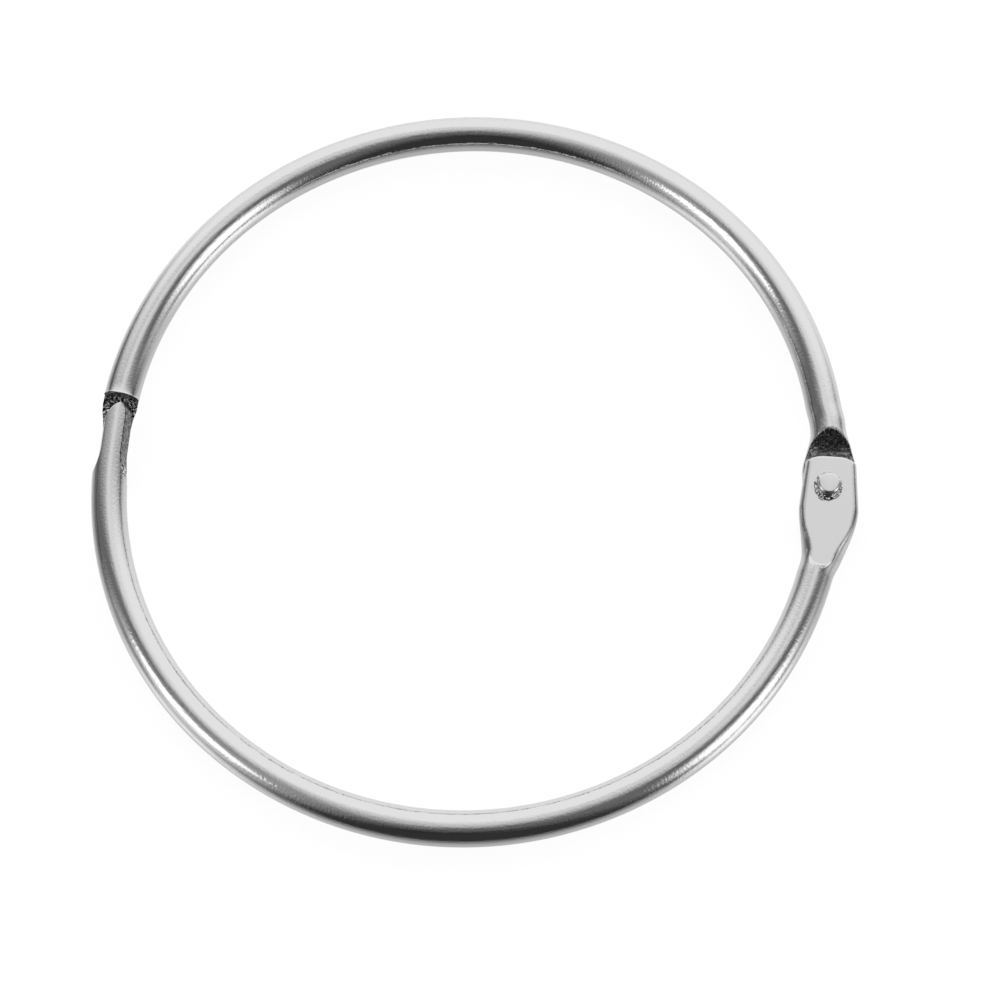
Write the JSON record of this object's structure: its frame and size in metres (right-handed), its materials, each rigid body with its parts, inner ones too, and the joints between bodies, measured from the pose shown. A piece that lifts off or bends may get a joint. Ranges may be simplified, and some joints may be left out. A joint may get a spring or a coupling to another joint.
{
  "type": "hinged loose-leaf binder ring",
  "caption": "Hinged loose-leaf ring: two half rings of plated steel wire, riveted through flat lapped lugs and closed by lapped tongues.",
  "frame": {"origin": "centre of the closed ring, on its mid plane", "axes": "+X from the ring's centre to the hinge rivet, +Z square to the ring's plane towards the side of the rivet's button"},
  "size_m": [0.0748, 0.075, 0.0049],
  "materials": {
    "plated_wire": "bright nickel plate on steel wire",
    "plated_rivet": "bright nickel plate on a steel rivet"
  },
  "bodies": {
    "lower_half": {"lower_half_ring": "plated_wire", "hinge_rivet": "plated_rivet"},
    "upper_half": {"upper_half_ring": "plated_wire"}
  },
  "joints": [
    {"name": "ring_hinge", "type": "hinge", "parent": "lower_half", "child": "upper_half", "pos_m": [0.03506, 0, 0], "axis": [0, 0, -1], "range_deg": [0, 108]}
  ]
}
